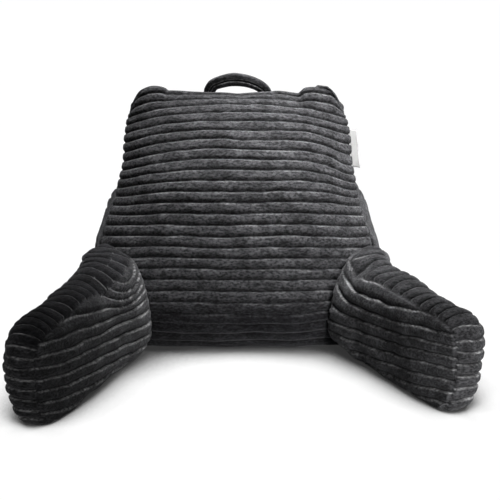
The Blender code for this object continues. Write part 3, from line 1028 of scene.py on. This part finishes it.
@dataclass
class CarryStrap:
    """The padded strap, two ribs wide, sewn down behind the top seam."""

    back: BackCushion
    cells: tuple[int, int, int] = (150, 28, 14)
    thick: float = 0.011
    look: float = 0.02
    waist: Pair = (0.38, 0.13)
    wobble: float = 0.0006
    path: Table = Table((
        # (share of the strap, across, behind the top seam, above the top seam, width)
        (0.00, -0.0490, 0.0460, -0.0300, 0.0200),
        (0.12, -0.0495, 0.0350, -0.0120, 0.0200),
        (0.25, -0.0440, 0.0250, 0.0045, 0.0205),
        (0.38, -0.0270, 0.0205, 0.0150, 0.0220),
        (0.50, -0.0060, 0.0195, 0.0190, 0.0235),
        (0.62, 0.0150, 0.0205, 0.0160, 0.0220),
        (0.75, 0.0360, 0.0250, 0.0070, 0.0205),
        (0.88, 0.0500, 0.0330, -0.0085, 0.0200),
        (1.00, 0.0550, 0.0465, -0.0300, 0.0200),
    ))

    def build(self, finish: "Plush") -> Object:
        """Sweep the band along its path.

        Args:
            finish: The plush that it is covered in.

        Returns:
            The strap.
        """
        shell = Shell("strap_loop", Lattice(*self.cells).build())
        share, across, thick = shell.lattice.T
        seam = self.back.shape(np.array([[0.0, 0.0, 1.0]]))[0]
        *place, width = self.path.read(share)
        middle = np.stack(place, axis=1) + seam
        ahead = np.stack(self.path.read(np.minimum(share + self.look, 1.0))[:3], axis=1)
        behind = np.stack(self.path.read(np.maximum(share - self.look, 0.0))[:3], axis=1)
        tangent = ahead - behind
        tangent /= np.linalg.norm(tangent, axis=1, keepdims=True)
        radial = np.cross(tangent, np.array([0.0, 1.0, 0.0]))
        radial /= np.linalg.norm(radial, axis=1, keepdims=True)
        face = np.cross(radial, tangent)
        w, t = 2.0 * across - 1.0, 2.0 * thick - 1.0
        ridge = np.sqrt(np.maximum(0.0, 1.0 - 0.82 * w**4)) * (1.0 - self.waist[0] * hump(w, self.waist[1]))
        ends = 1.0 - 0.5 * hump(share, self.look) - 0.5 * hump(1.0 - share, self.look)
        thick_here = t * ridge * ends * self.thick / 2.0 + Waves(71, 0.03).at(middle) * self.wobble
        shell.move_to(middle + radial * (w * width / 2.0)[:, None] + face * thick_here[:, None])
        # Painted highlight along each rib beside the middle groove, painted shade in that groove, and full
        # painted light elsewhere.
        shell.paint_light_and_shade(hump(np.abs(w) - 0.22, 0.08), hump(w, 0.12), 1.0 + 0.0 * w)
        shell.weld()
        return shell.finish(finish.material())


@dataclass
class SideTag:
    """The blank ribbon tag in the right side seam."""

    back: BackCushion
    length: float = 0.070
    width: float = 0.0130
    thick: float = 0.0009
    top: float = 0.865
    set_off: float = 0.0020
    curl: float = 0.004
    ripple: float = 0.0006
    steps: int = 40
    cells: int = 10

    def seam(self, shares: Array) -> Array:
        """Places of the right side seam at shares of the height."""
        return self.back.shape(np.stack([shares * 0.0 + 1.0, shares * 0.0, shares], axis=1))

    def seam_shares(self) -> Array:
        """Height shares at even distances down the side seam, from the tag's upper end."""
        shares = np.arange(self.top, self.top - 0.30, -0.002)
        strides = np.linalg.norm(np.diff(self.seam(shares), axis=0), axis=1)
        run = np.concatenate([[0.0], np.cumsum(strides)])
        return np.interp(np.linspace(0.0, self.length, self.steps + 1), run, shares)

    def build(self, finish: "Ribbon") -> Object:
        """Cut the strip and stand it in the seam.

        Args:
            finish: The ribbon's finish.

        Returns:
            The tag.
        """
        shell = Shell("blank_tag", Lattice(self.steps, self.cells, 1).build())
        down, out, thick = shell.lattice.T
        shares = self.seam_shares()[np.round(down * self.steps).astype(int)]
        forward = self.curl * (down * out) ** 2 + self.ripple * np.sin(down * 9.0) * out
        aside = self.set_off + out * self.width
        off = np.stack([aside, thick * self.thick - forward, 0.0 * out], axis=1)
        shell.move_to(self.seam(shares) + off)
        shell.weld()
        return shell.finish(finish.material())


def settle(node: Node, **values: object) -> None:
    """Set inputs of a node to constants, by their names with _ for a space."""
    for name, value in values.items():
        node.inputs[name.replace("_", " ")].default_value = value


def node_of(tree: NodeTree, kind: str, **values: object) -> Node:
    """Add a shader node and set the named properties on it."""
    node = tree.nodes.new(kind)
    for key, value in values.items():
        setattr(node, key, value)
    return node


def finish_of(name: str) -> tuple[Material, NodeTree, Node]:
    """Make a material; returns it with its tree and its shader."""
    made = bpy.data.materials.new(name)
    made.use_nodes = True
    return made, made.node_tree, made.node_tree.nodes["Principled BSDF"]


def mix_of(tree: NodeTree, share: NodeSocket, low: NodeSocket | Colour,
           high: NodeSocket | Colour) -> NodeSocket:
    """Mix two colours.

    Args:
        tree: The tree that the node goes into.
        share: What feeds the share of the second colour.
        low: The first colour, or what feeds it.
        high: The second colour, or what feeds it.

    Returns:
        The mixed colour's socket.
    """
    mix = node_of(tree, "ShaderNodeMix", data_type="RGBA")
    tree.links.new(share, mix.inputs["Factor"])
    for name, source in (("A", low), ("B", high)):
        if isinstance(source, tuple):
            mix.inputs[name].default_value = (*source, 1.0)
        else:
            tree.links.new(source, mix.inputs[name])
    return mix.outputs["Result"]


def range_of(tree: NodeTree, source: NodeSocket, ends: Pair, reach: Pair,
             kind: str = "LINEAR") -> NodeSocket:
    """Carry a value from the range between two ends over to another range."""
    span = node_of(tree, "ShaderNodeMapRange", interpolation_type=kind)
    settle(span, From_Min=ends[0], From_Max=ends[1], To_Min=reach[0], To_Max=reach[1])
    tree.links.new(source, span.inputs["Value"])
    return span.outputs["Result"]


def join(tree: NodeTree, operation: str, first: NodeSocket, second: NodeSocket) -> NodeSocket:
    """Add or multiply two values."""
    node = node_of(tree, "ShaderNodeMath", operation=operation)
    tree.links.new(first, node.inputs[0])
    tree.links.new(second, node.inputs[1])
    return node.outputs["Value"]


def raise_pile(tree: NodeTree, shader: Node, height: NodeSocket, strength: float, depth: float) -> None:
    """Bump a shader's surface by a height."""
    bump = node_of(tree, "ShaderNodeBump")
    settle(bump, Strength=strength, Distance=depth)
    tree.links.new(height, bump.inputs["Height"])
    tree.links.new(bump.outputs["Normal"], shader.inputs["Normal"])


@dataclass(frozen=True)
class Grain:
    """Uneven specks in a cloth, from noise in the piece's own coordinates."""

    scale: float
    detail: float
    roughness: float = 0.5
    shades: Pair = (0.0, 1.0)
    contrast: Pair = (0.38, 0.62)

    def noise(self, tree: NodeTree, place: NodeSocket) -> NodeSocket:
        """Add the noise at a place's socket."""
        noise = node_of(tree, "ShaderNodeTexNoise")
        settle(noise, Scale=self.scale, Detail=self.detail, Roughness=self.roughness)
        tree.links.new(place, noise.inputs["Vector"])
        return noise.outputs["Fac"]

    def shade(self, tree: NodeTree, noise: NodeSocket) -> NodeSocket:
        """Spread the noise over the range of shades that multiplies the colour."""
        return range_of(tree, noise, self.contrast, self.shades)


@dataclass(frozen=True)
class Plush:
    """Charcoal short-nap plush, with a painted highlight along the upper edge of each rib and painted shade
    in its groove.
    """

    name: str = "charcoal_plush"
    # Colours of painted light and shade: the darkest for the groove shade, the next two for the shaded and
    # lit faces of the ribs, the brightest for the highlight on their edges.
    deep: Colour = (0.008, 0.008, 0.009)
    low: Colour = (0.019, 0.019, 0.020)
    high: Colour = (0.034, 0.034, 0.036)
    highlight_colour: Colour = (0.158, 0.158, 0.160)
    roughness: float = 0.9
    sheen: float = 0.12
    sheen_tint: Colour = (0.8, 0.8, 0.83)
    stretch: Triple = (0.55, 1.0, 1.0)
    streaks: Grain = Grain(300.0, 3.0, 0.65, (0.42, 1.58))
    clouds: Grain = Grain(75.0, 2.0, 0.5, (0.68, 1.32))
    fibres: Grain = Grain(900.0, 2.0)
    pile_depth: float = 0.0014
    pile_strength: float = 0.9

    def material(self) -> Material:
        """The material, made once."""
        if self.name in bpy.data.materials:
            return bpy.data.materials[self.name]
        made, tree, shader = finish_of(self.name)
        link = tree.links.new
        settle(shader, Roughness=self.roughness, Sheen_Weight=self.sheen, Sheen_Roughness=0.4,
               Sheen_Tint=(*self.sheen_tint, 1.0), Specular_IOR_Level=0.1)
        # Painted light and shade from the vertex colours: blue mixes the shaded and lit faces, green paints
        # the groove shade, red the edge highlight.
        painted_shading = node_of(tree, "ShaderNodeVertexColor", layer_name="painted_shading")
        tint = node_of(tree, "ShaderNodeSeparateColor")
        link(painted_shading.outputs["Color"], tint.inputs["Color"])
        face = mix_of(tree, tint.outputs["Blue"], self.low, self.high)
        groove = mix_of(tree, tint.outputs["Green"], face, self.deep)
        edge = mix_of(tree, tint.outputs["Red"], groove, self.highlight_colour)

        place = node_of(tree, "ShaderNodeTexCoord").outputs["Object"]
        brushed = node_of(tree, "ShaderNodeMapping")
        settle(brushed, Scale=self.stretch)
        link(place, brushed.inputs["Vector"])
        streaks = self.streaks.noise(tree, brushed.outputs["Vector"])
        clouds = self.clouds.noise(tree, brushed.outputs["Vector"])
        patchy = join(tree, "MULTIPLY", self.streaks.shade(tree, streaks), self.clouds.shade(tree, clouds))
        spotted = node_of(tree, "ShaderNodeMix", data_type="RGBA", blend_type="MULTIPLY")
        settle(spotted, Factor=1.0)
        link(edge, spotted.inputs["A"])
        link(patchy, spotted.inputs["B"])
        link(spotted.outputs["Result"], shader.inputs["Base Color"])

        height = join(tree, "ADD", self.fibres.noise(tree, place), streaks)
        raise_pile(tree, shader, height, self.pile_strength, self.pile_depth)
        return made


@dataclass(frozen=True)
class Ribbon:
    """Plain white woven ribbon; its grey colour is painted shade."""

    name: str = "white_ribbon"
    # Grey rather than white: painted shade.
    colour: Colour = (0.19, 0.19, 0.187)
    roughness: float = 0.6
    weave_scale: float = 500.0
    weave_depth: float = 0.0003
    weave_strength: float = 0.3

    def material(self) -> Material:
        """The material, made once."""
        if self.name in bpy.data.materials:
            return bpy.data.materials[self.name]
        made, tree, shader = finish_of(self.name)
        settle(shader, Base_Color=(*self.colour, 1.0), Roughness=self.roughness)
        place = node_of(tree, "ShaderNodeTexCoord").outputs["Object"]
        weave = node_of(tree, "ShaderNodeTexWave", bands_direction="Z")
        settle(weave, Scale=self.weave_scale)
        tree.links.new(place, weave.inputs["Vector"])
        raise_pile(tree, shader, weave.outputs["Fac"], self.weave_strength, self.weave_depth)
        return made


@dataclass(frozen=True)
class Lamp:
    """A square soft light."""

    name: str
    place: Triple
    aim: Triple
    size: float
    watts: float
    spread: float = 180.0

    def build(self) -> None:
        """Hang the light and point it."""
        light = bpy.data.lights.new(self.name, "AREA")
        light.spread = math.radians(self.spread)
        light.size = self.size
        light.energy = self.watts
        point_at(linked(self.name, light), Vector(self.place), Vector(self.aim))


@dataclass
class Studio:
    """Plain pale floor, soft lights and the camera at the photograph's angle."""

    elevation: float = 24.0
    distance: float = 5.0
    lens: float = 208.7
    sensor: float = 36.0
    target: Triple = (0.00742, 0.01347, 0.17656)
    floor_size: float = 9.0
    floor_colour: Colour = (0.30, 0.30, 0.30)
    floor_seen: Colour = (0.04, 0.04, 0.04)
    floor_glow: Pair = (0.03, 1.0)
    shadow_reach: float = 0.15
    shadow_range: Pair = (0.40, 0.76)
    world: float = 0.16
    lamps: tuple[Lamp, ...] = (
        Lamp("key_light", (0.75, 0.05, 1.50), (0.08, 0.17, 0.30), 0.35, 1.60, 29.0),
        Lamp("top_light", (0.06, 0.55, 1.45), (0.05, 0.16, 0.35), 0.5, 3.2, 34.0),
        Lamp("right_light", (1.25, -1.60, 0.45), (0.40, -0.28, 0.08), 0.3, 1.0, 22.0),
        Lamp("left_light", (-0.75, -1.90, 0.50), (-0.36, -0.26, 0.08), 0.3, 0.15, 22.0),
    )

    def camera(self) -> None:
        """Set up the camera."""
        data = bpy.data.cameras.new("camera")
        data.lens = self.lens
        data.sensor_width = self.sensor
        data.dof.use_dof = False
        item = linked("camera", data)
        tilt = math.radians(self.elevation)
        aim = Vector(self.target)
        point_at(item, aim + Vector((0.0, -math.cos(tilt), math.sin(tilt))) * self.distance, aim)
        bpy.context.scene.camera = item

    def floor_paint(self) -> Material:
        """A pale finish that glows evenly for the camera, with a painted shadow beside the pillow where
        ambient occlusion dims the glow.
        """
        paint, tree, shader = finish_of("pale_floor")
        link = tree.links.new
        settle(shader, Roughness=0.9, Specular_IOR_Level=0.0, Emission_Color=WHITE)
        seen = node_of(tree, "ShaderNodeLightPath").outputs["Is Camera Ray"]
        # Painted contact shadow: ambient occlusion near the pillow fades the glow.
        open_sky = node_of(tree, "ShaderNodeAmbientOcclusion", samples=8)
        settle(open_sky, Distance=self.shadow_reach)
        fade = range_of(tree, open_sky.outputs["AO"], self.shadow_range, self.floor_glow, "SMOOTHSTEP")
        link(join(tree, "MULTIPLY", seen, fade), shader.inputs["Emission Strength"])
        link(mix_of(tree, seen, self.floor_colour, self.floor_seen), shader.inputs["Base Color"])
        return paint

    def floor(self) -> None:
        """Lay the floor."""
        mesh = bmesh.new()
        bmesh.ops.create_grid(mesh, x_segments=1, y_segments=1, size=self.floor_size / 2.0)
        data = bpy.data.meshes.new("floor")
        mesh.to_mesh(data)
        mesh.free()
        data.materials.append(self.floor_paint())
        floor = linked("floor", data)

    def sky(self) -> None:
        """White for the camera, dim for the light that it gives."""
        world = bpy.data.worlds.new("studio")
        world.use_nodes = True
        tree = world.node_tree
        back = tree.nodes["Background"]
        settle(back, Color=WHITE)
        seen = node_of(tree, "ShaderNodeLightPath").outputs["Is Camera Ray"]
        strength = range_of(tree, seen, (0.0, 1.0), (self.world, 1.0))
        tree.links.new(strength, back.inputs["Strength"])
        bpy.context.scene.world = world

    def build(self) -> None:
        """Lay the floor, hang the lights and set up the camera."""
        self.floor()
        self.sky()
        bpy.context.scene.view_settings.view_transform = "Standard"
        for lamp in self.lamps:
            lamp.build()
        self.camera()


ARM_SIZES = (
    ArmSizes(
        name="right_arm", node="arm_right", side=1.0, root_across=0.2280, root_depth=0.0253,
        splay=33.2, length=0.318, root_width=0.060, front_width=0.053, spread=0.010,
        top_pitch=0.0265, front_pitch=0.0212, front_start=0.06,
        side_pitch=0.0206, side_start=0.04, side_slope=0.15,
        dips=((0.036, 0.020, 0.019),),
        outer_dip=(0.235, 0.055, 0.006), skew=0.20, hook=(0.030, 0.016, 0.45), squeeze=0.0,
        flare=0.030, flare_level=0.36, crown=0.009, rise_outer=0.008, shade=0.15, seed=31,
    ),
    ArmSizes(
        name="left_arm", node="arm_left", side=-1.0, root_across=0.2240, root_depth=0.0073,
        splay=25.0, length=0.337, root_width=0.077, front_width=0.055, spread=0.013,
        top_pitch=0.0245, front_pitch=0.0190, front_start=0.60,
        side_pitch=0.0205, side_start=-0.21, side_slope=0.15,
        dips=((0.045, 0.020, 0.002), (0.112, 0.022, 0.009), (0.190, 0.035, -0.008)),
        outer_dip=(0.180, 0.050, 0.003), skew=0.0, hook=(0.010, 0.045, 0.62), squeeze=2.4,
        flare=0.016, flare_level=0.36, crown=0.013, rise_outer=0.014, shade=0.65, seed=51,
    ),
)


def surface_of(item: Object) -> BVHTree:
    """The surface of an object whose place is in its mesh."""
    mesh = bmesh.new()
    mesh.from_mesh(item.data)
    tree = BVHTree.FromBMesh(mesh)
    mesh.free()
    return tree


def declare(item: Object, node: str) -> None:
    """Ride the root and stand for a solid.

    Args:
        item: The finished piece.
        node: The solid's node.
    """
    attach(item, ROOT_BODY)
    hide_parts(node)
    LOG.info("%s stands for %s: %d faces", item.name, node, len(item.data.polygons))


def main() -> None:
    """Build the pillow and its studio."""
    logging.basicConfig(level=logging.INFO, format="%(name)s: %(message)s")
    plush, ribbon = Plush(), Ribbon()
    back = BackCushion()
    cushion = back.build(plush)
    declare(cushion, "back")
    surface = surface_of(cushion)
    for sizes in ARM_SIZES:
        arm = Arm(sizes).build(plush, surface)
        declare(arm, sizes.node)
    strap = CarryStrap(back).build(plush)
    declare(strap, "carry_strap")
    tag = SideTag(back).build(ribbon)
    declare(tag, "side_tag")
    Studio().build()


if __name__ == "__main__":
    main()
